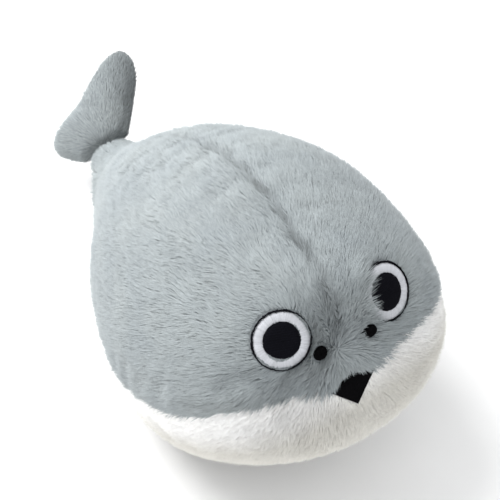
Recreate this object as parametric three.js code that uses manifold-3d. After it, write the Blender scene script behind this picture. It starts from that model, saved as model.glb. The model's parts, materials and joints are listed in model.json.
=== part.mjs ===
// Plush fish: a fat teardrop toy sewn from two grey back panels and one white belly panel, stuffed, with
// embroidered eyes, felt nostrils and mouth, and a stuffed tail fin sewn to the closed end of its tail.
// Millimetres, +Z up. The fish looks towards -Y and its left side is +X.
import Module from 'manifold-3d';
import * as THREE from 'three';
import { mergeVertices } from 'three/addons/utils/BufferGeometryUtils.js';

const wasm = await Module();
wasm.setup();

// ---- Driving dimensions ----

// Stations along the body, from the mouth to the tail's sewn end. top and bottom are (y, z) on the middle
// plane, halfWidth is the widest x, and seam is the belly seam's place around the section, in degrees
// from the top. The belly below z = 0 is pressed flat by the surface that the fish lies on.
const STATIONS = [
  { top: [-333, 148], bottom: [-333, 148], halfWidth: 0, seam: 53 },
  { top: [-308, 195], bottom: [-345, 102], halfWidth: 68, seam: 71 },
  { top: [-269, 220], bottom: [-302, 45], halfWidth: 105, seam: 86 },
  { top: [-185, 226], bottom: [-240, -12], halfWidth: 113, seam: 95 },
  { top: [-112, 184], bottom: [-158, -12], halfWidth: 93, seam: 111 },
  { top: [-57, 129], bottom: [-77, 5], halfWidth: 50, seam: 125 },
  { top: [-15, 75], bottom: [-4, 21], halfWidth: 23, seam: 135 },
  { top: [0, 66], bottom: [12, 30], halfWidth: 11, seam: 140 },
];
const WIDEST = 0.53; // how far down each section its widest place is
const ROUNDNESS = 0.95; // power on sine and cosine: 1 is an ellipse, less is squarer
const BROW = { height: 6, station: 1.2, length: 0.7, halfAngle: 0.45 }; // the swelling between the eyes
const SEAM_LEAN = 4; // degrees that the belly panel and the mouth sit askew, down on the fish's right
const FABRIC = 6; // plush fabric, backing and pile together
const CLOSED_END = 0.3; // share of that thickness left where the tail is closed
const GAP = 0.3; // clearance between touching pieces
const SEAM_WIDTH = 3; // the valley between two sewn panels
const THREAD = 0.5; // radius of a sewing thread's bundle
const THREAD_DEPTH = 0.8; // how far down through the fabric the threads lie
const THREAD_SIDES = 6;
const SEAM_ENDS = [0.6, 6.2]; // the stations between which the panels are sewn
const SEAM_STEPS = 6; // straight pieces of thread in each station's length
const CLOSING = [3.6, 4.5]; // the stretch of the right belly seam that is closed by hand after stuffing
const KNOT_GAP = 0.02; // in stations, between the ends of two threads
const PANEL = { rows: 26, backColumns: 10, bellyColumns: 14 };
const STUFFING = { from: 0.4, to: 6.2, rings: 18, sides: 28, clearance: 2 };

const TAIL_PITCH = THREE.MathUtils.degToRad(20); // the tail points up
const TAIL_ROLL = THREE.MathUtils.degToRad(55); // the tail's flat end leans to the fish's left
const ROLL_START = 5; // the station where that twist starts

const EYE = { station: 1.19, angle: 30.8, rim: 20.6, white: 19.1, pupil: 13.4, thickness: 1.8, backing: 1 };
const NOSTRIL = { station: 0.68, angle: 20.8, halfWidth: 5.2, halfHeight: 4.9, thickness: 1.6, pocket: 2.5 };
const MOUTH = { halfWidth: 17.2, corner: 2, top: 12, tip: -17, mitre: 1.5, thickness: 2 };
const FIRST = 0.05; // the station where the panels start, close to the mouth's middle
const POCKET = 4; // depth of the place that an eye or the mouth has in the pile
const CUTTER = 12; // how far the shape that cuts such a place reaches out of the pile
const DISC_SIDES = 20;

// The fin's outline in its own plane: (away from the tail, towards its upper lobe).
const FIN_OUTLINE = [
  [2, 20], [13, 30], [28, 42], [39, 50], [52, 54], [64, 50], [67, 37], [59, 19],
  [47, -1], [37, -28], [30, -36], [22, -38], [13, -33], [2, -20],
];
const ROOT_GAP = 1.5; // between the tail's end and the fin's frame, where the root seam lies
const FIN = {
  centre: [30, 4], bulge: 12, flatness: 2.2, fabric: 4, edgeGap: 1, threadDepth: 3,
  outlinePoints: 32, outerRings: 5, innerRings: 4,
};
const ROOT_SEAM = { halfHeight: 16, halfWidth: 3, opening: 0.1, points: 32, steps: 28 };
const STEP = 0.01; // in stations and radians, for measuring directions on the surface
const SAME_POINT = 1e-4; // corners closer than this are one corner

const COLOURS = {
  greyPlush: 0xaab2b4, whitePlush: 0xeceae6, blackThread: 0x0b0a0d, whiteThread: 0xe9eaec,
  felt: 0x0a090b, greyThread: 0x8d9598, fibre: 0xf4f3ef, backing: 0xdcdcd8,
};

// ---- Meshes and solids ----

function material(color, roughness) {
  return new THREE.MeshStandardMaterial({ color, roughness, metalness: 0 });
}

const MATERIALS = {
  greyPlush: () => material(COLOURS.greyPlush, 0.95),
  whitePlush: () => material(COLOURS.whitePlush, 0.95),
  blackThread: () => material(COLOURS.blackThread, 0.6),
  whiteThread: () => material(COLOURS.whiteThread, 0.55),
  felt: () => material(COLOURS.felt, 0.98),
  greyThread: () => material(COLOURS.greyThread, 0.7),
  fibre: () => material(COLOURS.fibre, 1),
  backing: () => material(COLOURS.backing, 0.9),
};

function named(name, geometry, finish) {
  const mesh = new THREE.Mesh(geometry, MATERIALS[finish]());
  mesh.name = name;
  return mesh;
}

function meshOf(points, triangles) {
  const geometry = new THREE.BufferGeometry();
  geometry.setAttribute('position', new THREE.Float32BufferAttribute(points.flatMap((p) => p.toArray()), 3));
  geometry.setIndex(triangles);
  return geometry;
}

// The same closed mesh with its faces pointing out, whichever way its points were listed.
function facingOut(geometry) {
  const position = geometry.attributes.position;
  const { array } = geometry.index;
  const corner = (i) => new THREE.Vector3().fromBufferAttribute(position, array[i]);
  let volume = 0;
  for (let i = 0; i < array.length; i += 3) volume += corner(i).dot(corner(i + 1).cross(corner(i + 2)));
  if (volume < 0) geometry.setIndex(Array.from(array).reverse());
  return geometry;
}

// A bent slab: pointAt(row, column, layer), with layer 0 outside and 1 inside, all from 0 to 1.
function slab(pointAt, rows, columns) {
  const points = [];
  const triangles = [];
  const index = (i, j, layer) => layer * (rows + 1) * (columns + 1) + i * (columns + 1) + j;
  const quad = (a, b, c, d) => triangles.push(a, b, c, a, c, d);
  for (const layer of [0, 1]) {
    for (let i = 0; i <= rows; i += 1) {
      for (let j = 0; j <= columns; j += 1) points.push(pointAt(i / rows, j / columns, layer));
    }
  }
  for (let i = 0; i < rows; i += 1) {
    for (let j = 0; j < columns; j += 1) {
      quad(index(i, j, 0), index(i, j + 1, 0), index(i + 1, j + 1, 0), index(i + 1, j, 0));
      quad(index(i, j, 1), index(i + 1, j, 1), index(i + 1, j + 1, 1), index(i, j + 1, 1));
    }
    quad(index(i, 0, 0), index(i + 1, 0, 0), index(i + 1, 0, 1), index(i, 0, 1));
    quad(index(i, columns, 0), index(i, columns, 1), index(i + 1, columns, 1), index(i + 1, columns, 0));
  }
  for (let j = 0; j < columns; j += 1) {
    quad(index(0, j, 0), index(0, j, 1), index(0, j + 1, 1), index(0, j + 1, 0));
    quad(index(rows, j, 0), index(rows, j + 1, 0), index(rows, j + 1, 1), index(rows, j, 1));
  }
  return facingOut(meshOf(points, triangles));
}

// A closed skin through rings of points, with a single point at each end.
function loft(rings, firstPole, lastPole) {
  const sides = rings[0].length;
  const points = [firstPole, ...rings.flat(), lastPole];
  const last = points.length - 1;
  const triangles = [];
  for (let j = 0; j < sides; j += 1) {
    const next = (j + 1) % sides;
    triangles.push(0, 1 + j, 1 + next);
    for (let i = 0; i < rings.length - 1; i += 1) {
      const a = 1 + i * sides;
      const b = a + sides;
      triangles.push(a + j, b + j, b + next, a + j, b + next, a + next);
    }
    triangles.push(last, last - sides + next, last - sides + j);
  }
  return facingOut(meshOf(points, triangles));
}

function solidOf(geometry) {
  const bare = geometry.clone();
  bare.deleteAttribute('normal');
  bare.deleteAttribute('uv');
  const merged = mergeVertices(bare, SAME_POINT);
  const vertProperties = new Float32Array(merged.attributes.position.array);
  return new wasm.Manifold(new wasm.Mesh({
    numProp: 3, vertProperties, triVerts: new Uint32Array(merged.index.array),
  }));
}

function geometryOf(solid) {
  const { vertProperties, triVerts } = solid.getMesh();
  const geometry = new THREE.BufferGeometry();
  geometry.setAttribute('position', new THREE.BufferAttribute(new Float32Array(vertProperties), 3));
  geometry.setIndex(Array.from(triVerts));
  return geometry;
}

function cutBy(geometry, cutters) {
  const solid = cutters.reduce((rest, cutter) => rest.subtract(solidOf(cutter)), solidOf(geometry));
  return geometryOf(solid);
}

// A thread along a curve.
function thread(curve, steps) {
  const section = new THREE.Shape();
  section.absarc(0, 0, THREAD, 0, Math.PI * 2, true);
  const options = { extrudePath: curve, steps, curveSegments: THREAD_SIDES / 2, bevelEnabled: false };
  return new THREE.ExtrudeGeometry(section, options);
}

// ---- The body's surface ----

const LAST = STATIONS.length - 1;
const onMiddle = ([y, z]) => new THREE.Vector3(0, y, z);
const sideOutline = new THREE.CatmullRomCurve3([
  ...STATIONS.map(({ top }) => onMiddle(top)).reverse(),
  ...STATIONS.slice(1).map(({ bottom }) => onMiddle(bottom)),
], false, 'catmullrom', 0.5);
const widthCurve = new THREE.SplineCurve([
  ...STATIONS.map(({ halfWidth }, i) => new THREE.Vector2(-i, -halfWidth)).reverse(),
  ...STATIONS.slice(1).map(({ halfWidth }, i) => new THREE.Vector2(i + 1, halfWidth)),
]);
const seamCurve = new THREE.SplineCurve(STATIONS.map(({ seam }, i) => new THREE.Vector2(i, seam)));

const seamAngle = (station, sign) => (
  THREE.MathUtils.degToRad(seamCurve.getPoint(station / LAST).y - sign * SEAM_LEAN)
);

function softPower(value) {
  return Math.sign(value) * Math.abs(value) ** ROUNDNESS;
}

// A point on the pile's surface. angle runs from the top (0) over the fish's left side to the belly.
function freeSurface(station, angle) {
  const top = sideOutline.getPoint((LAST - station) / (2 * LAST));
  const bottom = sideOutline.getPoint((LAST + station) / (2 * LAST));
  const middle = top.clone().lerp(bottom, WIDEST);
  const halfWidth = widthCurve.getPoint((LAST + station) / (2 * LAST)).y;
  const up = softPower(Math.cos(angle));
  const height = top.clone().sub(middle).multiplyScalar(Math.max(up, 0))
    .add(bottom.clone().sub(middle).multiplyScalar(Math.max(-up, 0)));
  const across = new THREE.Vector3(halfWidth * softPower(Math.sin(angle)), 0, 0);
  const fromTop = Math.min(angle, 2 * Math.PI - angle);
  const fromBrow = Math.hypot((station - BROW.station) / BROW.length, fromTop / BROW.halfAngle);
  const swelling = 1 + (BROW.height * Math.exp(-(fromBrow ** 2))) / top.distanceTo(middle);
  const offset = height.add(across).multiplyScalar(swelling);
  const roll = TAIL_ROLL * THREE.MathUtils.smoothstep(station, ROLL_START, LAST);
  const tailward = new THREE.Vector3(0, Math.cos(TAIL_PITCH), Math.sin(TAIL_PITCH));
  return middle.add(offset.applyAxisAngle(tailward, roll));
}

function normalAt(station, angle) {
  const s = THREE.MathUtils.clamp(station, 2 * STEP, LAST - STEP);
  const along = freeSurface(s + STEP, angle).sub(freeSurface(s - STEP, angle));
  const around = freeSurface(s, angle + STEP).sub(freeSurface(s, angle - STEP));
  return around.cross(along).normalize();
}

// The same point at a depth below the pile's surface, with the underside pressed flat. The fabric thins
// towards the tail's closed end, where it is pulled together.
function surface(station, angle, fullDepth) {
  const closing = THREE.MathUtils.smoothstep(station, ROLL_START, LAST);
  const depth = fullDepth * THREE.MathUtils.lerp(1, CLOSED_END, closing);
  const point = freeSurface(station, angle).addScaledVector(normalAt(station, angle), -depth);
  point.z = Math.max(point.z, depth);
  return point;
}

// How far an edge must step back, in radians, to leave a gap of that width around a section.
function angleOf(width, station, angle) {
  const chord = freeSurface(station, angle + STEP).distanceTo(freeSurface(station, angle - STEP));
  const perRadian = chord / (2 * STEP);
  return width / Math.max(perRadian, 1);
}

// ---- Face pieces ----

// A group whose +Z stands out of the pile at that place, sunk to the given depth, with +Y towards the back.
function seat(station, angle, depth) {
  const group = new THREE.Group();
  const normal = normalAt(station, angle);
  const origin = surface(station, angle, depth);
  const back = freeSurface(station + 10 * STEP, angle).sub(freeSurface(station, angle));
  const across = back.clone().cross(normal).normalize();
  const basis = new THREE.Matrix4().makeBasis(across, normal.clone().cross(across), normal);
  group.quaternion.setFromRotationMatrix(basis);
  group.position.copy(origin);
  group.updateMatrixWorld(true);
  return group;
}

// A flat ring or, with no hole, a disc, standing on z = base.
function washer(outer, inner, base, thickness) {
  const profile = [
    new THREE.Vector2(inner, base), new THREE.Vector2(outer, base),
    new THREE.Vector2(outer, base + thickness), new THREE.Vector2(inner, base + thickness),
  ];
  if (inner > 0) profile.push(profile[0].clone());
  return new THREE.LatheGeometry(profile, DISC_SIDES).rotateX(Math.PI / 2);
}

function standing(geometry, group) {
  return geometry.clone().applyMatrix4(group.matrixWorld);
}

function eye(side, sign) {
  const group = seat(EYE.station, sign * THREE.MathUtils.degToRad(EYE.angle), POCKET - GAP);
  const sewn = EYE.backing + GAP;
  group.add(
    named(`eye_backing_${side}`, washer(EYE.rim, 0, 0, EYE.backing), 'backing'),
    named(`eye_rim_${side}`, washer(EYE.rim, EYE.white + GAP, sewn, EYE.thickness), 'blackThread'),
    named(`eye_white_${side}`, washer(EYE.white, EYE.pupil + GAP, sewn, EYE.thickness), 'whiteThread'),
    named(`eye_pupil_${side}`, washer(EYE.pupil, 0, sewn, EYE.thickness), 'blackThread'),
  );
  return { group, pocket: standing(washer(EYE.rim + GAP, 0, -GAP, CUTTER), group) };
}

function nostril(side, sign) {
  const group = seat(NOSTRIL.station, sign * THREE.MathUtils.degToRad(NOSTRIL.angle), NOSTRIL.pocket - GAP);
  const oval = (grow, base, thickness) => washer(1, 0, base, thickness)
    .scale(NOSTRIL.halfWidth + grow, NOSTRIL.halfHeight + grow, 1);
  group.add(named(`nostril_${side}`, oval(0, 0, NOSTRIL.thickness), 'felt'));
  return { group, pocket: standing(oval(GAP, -GAP, CUTTER), group) };
}

// The mouth is a felt kite set where the three panels meet.
function mouth() {
  const kite = (grow, base, thickness) => {
    const side = MOUTH.halfWidth + grow;
    const ends = grow * MOUTH.mitre;
    const outline = new THREE.Shape([
      new THREE.Vector2(side, MOUTH.corner), new THREE.Vector2(0, MOUTH.top + ends),
      new THREE.Vector2(-side, MOUTH.corner), new THREE.Vector2(0, MOUTH.tip - ends),
    ]);
    const solid = new THREE.ExtrudeGeometry(outline, { depth: thickness, bevelEnabled: false });
    return solid.translate(0, 0, base);
  };
  const group = seat(FIRST, 0, POCKET);
  group.add(named('mouth_patch', kite(0, 0, MOUTH.thickness), 'felt'));
  group.rotateZ(THREE.MathUtils.degToRad(SEAM_LEAN));
  group.updateMatrixWorld(true);
  return { group, hole: standing(kite(GAP, -CUTTER, 2 * CUTTER), group) };
}

// ---- Sewn panels, stuffing and seams ----

function panel(edges, rows, columns) {
  return slab((row, column, layer) => {
    const station = THREE.MathUtils.lerp(FIRST, LAST, row);
    const [from, to] = edges(station);
    return surface(station, THREE.MathUtils.lerp(from, to, column), layer * FABRIC);
  }, rows, columns);
}

function backPanel(side, sign, cutters) {
  const edges = (station) => {
    const seam = seamAngle(station, sign);
    const top = angleOf(SEAM_WIDTH / 2, station, 0);
    const low = seam - angleOf(SEAM_WIDTH / 2, station, seam);
    return sign > 0 ? [top, low] : [-low, -top];
  };
  const whole = panel(edges, PANEL.rows, PANEL.backColumns);
  return named(`back_panel_${side}`, cutBy(whole, cutters), 'greyPlush');
}

function bellyPanel(cutters) {
  const edges = (station) => {
    const [left, right] = [1, -1].map((sign) => {
      const seam = seamAngle(station, sign);
      return seam + angleOf(SEAM_WIDTH / 2, station, seam);
    });
    return [left, 2 * Math.PI - right];
  };
  return named('belly_panel', cutBy(panel(edges, PANEL.rows, PANEL.bellyColumns), cutters), 'whitePlush');
}

function bodyStuffing() {
  const { from, to, rings: count, sides, clearance } = STUFFING;
  const rings = Array.from({ length: count + 1 }, (_, i) => {
    const station = THREE.MathUtils.lerp(from, to, i / count);
    const point = (__, j) => surface(station, (j / sides) * 2 * Math.PI, FABRIC + clearance);
    return Array.from({ length: sides }, point);
  });
  const middleOf = (ring) => ring.reduce((sum, p) => sum.add(p), new THREE.Vector3()).divideScalar(sides);
  return named('body_stuffing', loft(rings, middleOf(rings[0]), middleOf(rings[count])), 'fibre');
}

// Sewing thread in the valley along a seam, down between the edges of the fabric.
function bodySeam(name, angleAt, from, to) {
  const steps = Math.ceil((to - from) * SEAM_STEPS);
  const points = Array.from({ length: steps + 1 }, (_, i) => {
    const station = THREE.MathUtils.lerp(from, to, i / steps);
    return surface(station, angleAt(station), FABRIC * THREAD_DEPTH);
  });
  return named(name, thread(new THREE.CatmullRomCurve3(points), steps), 'greyThread');
}

// ---- Tail fin ----

function finOutline() {
  const curve = new THREE.SplineCurve(FIN_OUTLINE.map(([a, b]) => new THREE.Vector2(a, b)));
  return curve.getSpacedPoints(FIN.outlinePoints);
}

// Rings from the middle of one side of the fin out to its edge. shrink steps the outline in, in millimetres.
function finRings(shrink, bulge, side, count) {
  const centre = new THREE.Vector2(...FIN.centre);
  const outline = finOutline();
  return Array.from({ length: count }, (_, k) => {
    const rho = (k + 1) / count;
    const rise = bulge * Math.sqrt(1 - rho ** FIN.flatness);
    return outline.map((p) => {
      const arm = p.clone().sub(centre);
      arm.setLength(rho * (arm.length() - shrink)).add(centre);
      return new THREE.Vector3(side * (FIN.edgeGap + rise), arm.x, arm.y);
    });
  });
}

function finPanel(name, side) {
  const outer = finRings(0, FIN.bulge, side, FIN.outerRings);
  const inner = finRings(FIN.fabric, FIN.bulge - FIN.fabric, side, FIN.innerRings).reverse();
  const pole = (bulge) => new THREE.Vector3(side * (FIN.edgeGap + bulge), ...FIN.centre);
  const rings = [...outer, ...inner];
  return named(name, loft(rings, pole(FIN.bulge), pole(FIN.bulge - FIN.fabric)), 'greyPlush');
}

function finStuffing() {
  const shrink = FIN.fabric + GAP;
  const bulge = FIN.bulge - shrink;
  const half = (side) => finRings(shrink, bulge, side, FIN.innerRings);
  const rings = [...half(1), ...half(-1).reverse()];
  const pole = (side) => new THREE.Vector3(side * (FIN.edgeGap + bulge), ...FIN.centre);
  return named('fin_stuffing', loft(rings, pole(1), pole(-1)), 'fibre');
}

function finSeam() {
  const centre = new THREE.Vector2(...FIN.centre);
  const points = finOutline().map((p) => {
    const arm = p.sub(centre);
    arm.setLength(arm.length() - FIN.threadDepth).add(centre);
    return new THREE.Vector3(0, arm.x, arm.y);
  });
  return named('fin_edge_seam', thread(new THREE.CatmullRomCurve3(points), FIN.outlinePoints), 'greyThread');
}

// The thread that sews the fin's root to the tail's flat end, a long oval with its two ends side by side.
function rootSeam() {
  const { halfHeight, halfWidth, opening, points: count, steps } = ROOT_SEAM;
  const points = Array.from({ length: count + 1 }, (_, i) => {
    const t = THREE.MathUtils.lerp(opening, 2 * Math.PI - opening, i / count);
    return new THREE.Vector3(halfWidth * Math.cos(t), 0, halfHeight * Math.sin(t));
  });
  return named('tail_root_seam', thread(new THREE.CatmullRomCurve3(points), steps), 'greyThread');
}

// The tail's frame: +Y away from the body along the tail, +Z towards the fin's upper lobe.
function tail() {
  const last = STATIONS[LAST];
  const frame = new THREE.Group();
  frame.position.copy(onMiddle(last.top).lerp(onMiddle(last.bottom), WIDEST));
  frame.rotation.set(TAIL_PITCH, TAIL_ROLL, 0, 'XYZ');
  const root = rootSeam();
  root.position.y = THREAD + 2 * GAP;
  const fin = new THREE.Group();
  fin.add(finPanel('fin_panel_left', 1), finPanel('fin_panel_right', -1), finStuffing(), finSeam());
  fin.position.y = ROOT_GAP;
  frame.add(root, fin);
  return frame;
}

// ---- Assembly ----

const group = new THREE.Group();
const eyes = { left: eye('left', 1), right: eye('right', -1) };
const nostrils = { left: nostril('left', 1), right: nostril('right', -1) };
const felt = mouth();
const seamAt = (sign) => (station) => sign * seamAngle(station, sign);
const [sewnFrom, sewnTo] = SEAM_ENDS;
const [openFrom, openTo] = CLOSING;

for (const [side, sign] of [['left', 1], ['right', -1]]) {
  group.add(backPanel(side, sign, [eyes[side].pocket, nostrils[side].pocket, felt.hole]));
  group.add(eyes[side].group, nostrils[side].group);
}
group.add(
  bellyPanel([felt.hole]),
  bodyStuffing(),
  felt.group,
  bodySeam('dorsal_seam', () => 0, sewnFrom, sewnTo),
  bodySeam('belly_seam_left', seamAt(1), sewnFrom, sewnTo),
  bodySeam('belly_seam_right_front', seamAt(-1), sewnFrom, openFrom),
  bodySeam('closing_seam', seamAt(-1), openFrom + KNOT_GAP, openTo),
  bodySeam('belly_seam_right_rear', seamAt(-1), openTo + KNOT_GAP, sewnTo),
  tail(),
);

// The origin is under the middle of the whole toy.
const box = new THREE.Box3().setFromObject(group, true);
group.position.y = -(box.min.y + box.max.y) / 2;

export default group;
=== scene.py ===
"""The looks of the plush fish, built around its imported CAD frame.

Three sewn skins and a stuffed tail fin are inflated as cloth under the CAD's outer surface, and a pile of
several hundred thousand tapered fibres grows on them. The eyes are embroidered, and the nostrils and mouth
are felt. Everything is in metres, in the frame's axes: the fish looks towards -Y and its left side is +X.
"""
import json
import math

import bpy
import numpy as np
from mathutils import Matrix, Vector
from mathutils.bvhtree import BVHTree
from mathutils.geometry import convex_hull_2d
from mathutils.kdtree import KDTree


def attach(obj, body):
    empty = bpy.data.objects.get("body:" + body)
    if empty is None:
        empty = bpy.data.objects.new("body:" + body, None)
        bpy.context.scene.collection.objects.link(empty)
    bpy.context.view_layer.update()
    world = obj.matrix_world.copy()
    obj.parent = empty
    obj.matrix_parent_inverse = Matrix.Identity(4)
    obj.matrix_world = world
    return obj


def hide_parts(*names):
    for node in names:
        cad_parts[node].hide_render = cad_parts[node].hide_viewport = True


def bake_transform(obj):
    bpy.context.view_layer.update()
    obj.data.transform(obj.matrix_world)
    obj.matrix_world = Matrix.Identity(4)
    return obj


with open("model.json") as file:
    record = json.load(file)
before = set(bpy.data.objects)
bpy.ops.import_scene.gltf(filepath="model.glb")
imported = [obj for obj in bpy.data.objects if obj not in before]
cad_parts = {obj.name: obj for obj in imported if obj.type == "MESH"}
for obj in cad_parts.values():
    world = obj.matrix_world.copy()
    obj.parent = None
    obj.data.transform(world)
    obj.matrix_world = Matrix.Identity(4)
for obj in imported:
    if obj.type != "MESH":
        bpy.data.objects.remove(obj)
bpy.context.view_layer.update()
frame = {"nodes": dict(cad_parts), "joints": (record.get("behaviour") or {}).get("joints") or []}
NODES = frame["nodes"]

# ---- Measures, in metres ----

MM = 0.001
FAR = 1.0
SAME_POINT = 1e-6
TINY = 1e-12                 # keeps a division away from zero
VOXEL = {"body": 5 * MM, "fin": 2.2 * MM}         # remeshing before the cloth simulation
PILE_DEPTH = {"body": 4.6 * MM, "fin": 1.6 * MM}    # from the woven skin up to the brushed surface
MOST_SWELL = {"body": 3 * MM, "fin": 1.5 * MM}    # cap on what the simulation may add
SETTLING = {"body": 60, "fin": 6}                 # rounds of smoothing in the settled form's correction
SKIN_THICKNESS = 1.0 * MM
REST_DEPTH = 3 * MM          # the skin's height over the floor, where the pile is pressed flat
REACH = 30 * MM              # how far outside a point the search for the CAD surface starts
REACH_LIMITS = (-2 * MM, 25 * MM)
END_BAND = 1 * MM            # how near the tail's end plane its rim's points are
RIM_BAND = 1.2 * MM          # the same for the plane between the fin's two domes
TURN_DIGITS = 3              # rounding that tells one direction round a dome from the next
END_CAP = 8 * MM             # how far the tail's end goes on into the fin's root
END_TAPER = 0.8              # and how much smaller it gets on the way
THIN_END = {"length": 45 * MM, "share": 0.3}      # the pile thins towards the tail's end
SEAM_HOLD = 6 * MM           # skin this near a seam's thread is held while it inflates
GROOVE_DEPTH = {"body": 1.6 * MM, "fin": 0.3 * MM}
GROOVE_WIDTH = 4.5 * MM
SECTION_GAP = 1 * MM         # space that tells one section of a CAD thread from the next
STITCH = {"pitch": 3.4 * MM, "radius": 0.42 * MM, "sides": 6}
STITCH_SHAPE = ((0.0, 0.45, -0.8), (0.15, 0.9, 0.1), (0.5, 1.0, 0.6), (0.85, 0.9, 0.1), (1.0, 0.45, -0.8))
PRESSURE = 4.0
SLACK = 0.02                 # how much wider than the form the cloth is cut
LAST_FRAME = 20
REACH_ROUNDS = 3             # times that a form is remeshed and moved before it is inflated
POCKET_MARGIN = 3 * MM       # round a face piece, where the panels are cut away
FILLING_GAP = 0.4 * MM       # between a skin and its filling
TWIST_LENGTH = 70 * MM       # stretch of the tail that shares a twist
SWING_LENGTH = 14 * MM       # stretch of the fin's root that shares a swing
CHIN_SHADE = {"away": (-0.15, 0.6, 1.0), "range": (14 * MM, 40 * MM)}    # painted shade: the white pile is darker and warmer low down and towards the front
FACE_RADIUS = 120 * MM       # how the head curves under the eyes
NOSTRIL = {"rise": 3.4 * MM, "base": -0.5 * MM, "around": 96, "rows": 16}    # felt over its skin
# The felt's upper corner is cut to the top share of its height, under the pile that hides it.
MOUTH = {"rise": 2.2 * MM, "top": 0.6, "rolled": 0.5 * MM, "edge": 0.1, "rough": 0.12 * MM, "depth": 0.4 * MM}
CLEARANCE = 0.8 * MM         # bare skin left round a face piece
EYE_SINK = 2.0 * MM          # how far the pile stands up round an eye's rim
EYE_OVERLAP = 0.1 * MM       # of one ring of stitches over the next
EYE_SEAT = -0.4 * MM         # how deep the embroidery starts
EYE = {
    "backing": {"inset": 1.4 * MM, "height": 2.8 * MM, "base": -2.2 * MM, "shade": 0.8},
    "white": {"under_pupil": 1.2 * MM, "height": 1.3 * MM, "stitches": 150},
    "rim": {"height": 1.4 * MM, "stitches": 230, "rows": 4},
    "pupil": {"height": 1.7 * MM},
}

FLOOR_FILM = 0.4 * MM        # no fibre comes nearer to the floor
MOST_IN_PIECE = 46000        # fibres in one piece of pile
FLATNESS = 0.45              # a fibre's thickness as a share of its width
SOFTNESS = 0.72              # how far a fibre's shading follows the skin under it
LOCKS_PER_AREA = 0.18        # locks in a square metre, divided by the square of their spacing
ROOT_DEPTH = 0.8 * MM        # how far a fibre goes down into the skin
TIP_LIFT = 0.5               # how far a tip's shading turns to the fibre's upper side
STRAY = {"aside": 0.16, "rise": 0.12}             # how unevenly single fibres lie
SWIRLS = ((0.18, 34 * MM), (0.17, 12 * MM))       # how much the pile's lie wanders, and over what length
WAVE_SPREAD = (0.6, 1.5)     # shares of the asked length that a field's waves have
TONE_LIMITS = (0.6, 1.4)
LENGTH_SPREAD = (0.8, 1.15)
WIDTH_SPREAD = (0.75, 1.25)
SNOUT = 0.3                  # where the pile's lie starts, as a share of the way from nostrils to mouth
COMBED = {"seam": 0.3, "seam_reach": 7 * MM, "mouth": 0.5, "mouth_reach": 8 * MM}
MOUTH_TRIM_REACH = 4 * MM
PRESSED = {"height": 9 * MM, "lean": 0.05}        # the pile that lies on the floor
FIN_EDGE = {"short": 0.4, "reach": 6 * MM}
INNER = {"gain": 2.2, "start": 0.7}               # which directions out of an eye count as inner
TRIM = {"eye": 0.5, "nostril": 0.72}              # how much shorter the pile is right beside each
BESIDE = {"reach": 5 * MM, "turn": 0.85, "brush": 1.2, "long": 0.4, "rise": 0.35, "rise_between": 0.3}
PARTING = {"lie": 0.7, "reach": 5 * MM, "short": 0.35, "dark": 0.45, "width": 2.2 * MM,
           "end": 270 * MM, "fade": 150 * MM, "wander": 1.6 * MM, "span": 30 * MM}    # along the back's seam; dark is a painted shade in the parting
BROW = {"height": 3.6 * MM, "reach": 9 * MM}
WAIST = {"height": 3 * MM, "top": 0.25, "place": 50 * MM, "reach": 24 * MM}
RUFFLED = {"reach": 62 * MM, "long": 0.15, "dark": 0.08, "warp": 5 * MM, "span": 16 * MM}    # round the snout; dark deepens the painted shade at the fibres' roots
# The fin's upper lobe is darker, in its colour and at its roots: a painted shade for the side that turns away
# from the light.
FIN_LOBE_SHADE = {"dark": 0.38, "roots": 0.25, "slope": 0.45, "length": 30 * MM}
RAGGED = 0.22 * MM           # how unevenly stitches end
RIDGE = 0.18 * MM            # how far one stitch stands over the gap beside it
STITCH_PITCH = 0.55 * MM
STITCH_LENGTH = 4.5 * MM
# Valley and ridge set a painted shade across each satin stitch: full colour on its ridge, darker in the
# valley beside it.
RING = {"edge": 0.75, "power": 3, "tone": 0.05, "valley": 0.8, "ridge": 0.2}
DISC = {"ragged": 0.6, "shift": 0.37, "dip": 0.06, "edge": 0.7, "power": 8,
        "row_tone": 0.25, "row_step": 2.1, "tone": 0.1}
LOOP_RADIUS = 20 * MM        # turns an angle round a loop of thread into a length

BODY_PANELS = ("back_panel_left", "back_panel_right", "belly_panel")
BODY_SEAMS = ("dorsal_seam", "belly_seam_left", "belly_seam_right_front", "closing_seam",
              "belly_seam_right_rear")
FIN_PANELS = ("fin_panel_left", "fin_panel_right")
SIDES = ("left", "right")
ROUND_PIECES = ("eye_rim_left", "eye_rim_right", "nostril_left", "nostril_right")
CAMERA = {"target": (-0.0019, -0.0591, 0.1527), "azimuth": -34.3, "elevation": 51.2, "roll": 3.8,
          "distance": 1.469, "lens": 152.3, "sensor": 36.0, "clip": (0.05, 50)}
LAMPS = {
    "key": {"azimuth": 215, "elevation": 58, "distance": 1.8, "size": 1.3, "power": 36},
    "fill": {"azimuth": -70, "elevation": 16, "distance": 2.2, "size": 1.6, "power": 5},
}
LAMP_TARGET = (0, 0, 0.1)
SKY = (0.97, 0.985, 1.0, 1)
FLOOR_HALF = 4.0
JOINTS = {joint["name"]: joint for joint in frame["joints"]}


# ---- Small tools for points and meshes ----

def unit(vectors):
    """The same vectors at length 1."""
    return vectors / np.maximum(np.linalg.norm(vectors, axis=-1, keepdims=True), TINY)


def dot(a, b):
    """Row by row dot product, kept as a column."""
    return np.sum(a * b, axis=-1, keepdims=True)


def tangent(vectors, normals):
    """What is left of the vectors in the surface."""
    return vectors - dot(vectors, normals) * normals


def fading(distance, reach):
    """1 at no distance or less, falling off over that reach."""
    return np.exp(-np.maximum(distance, 0) / reach)


def bell(distance, reach):
    return np.exp(-((distance / reach) ** 2))


def points_of(mesh):
    co = np.empty(len(mesh.vertices) * 3)
    mesh.vertices.foreach_get("co", co)
    return co.reshape(-1, 3)


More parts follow.
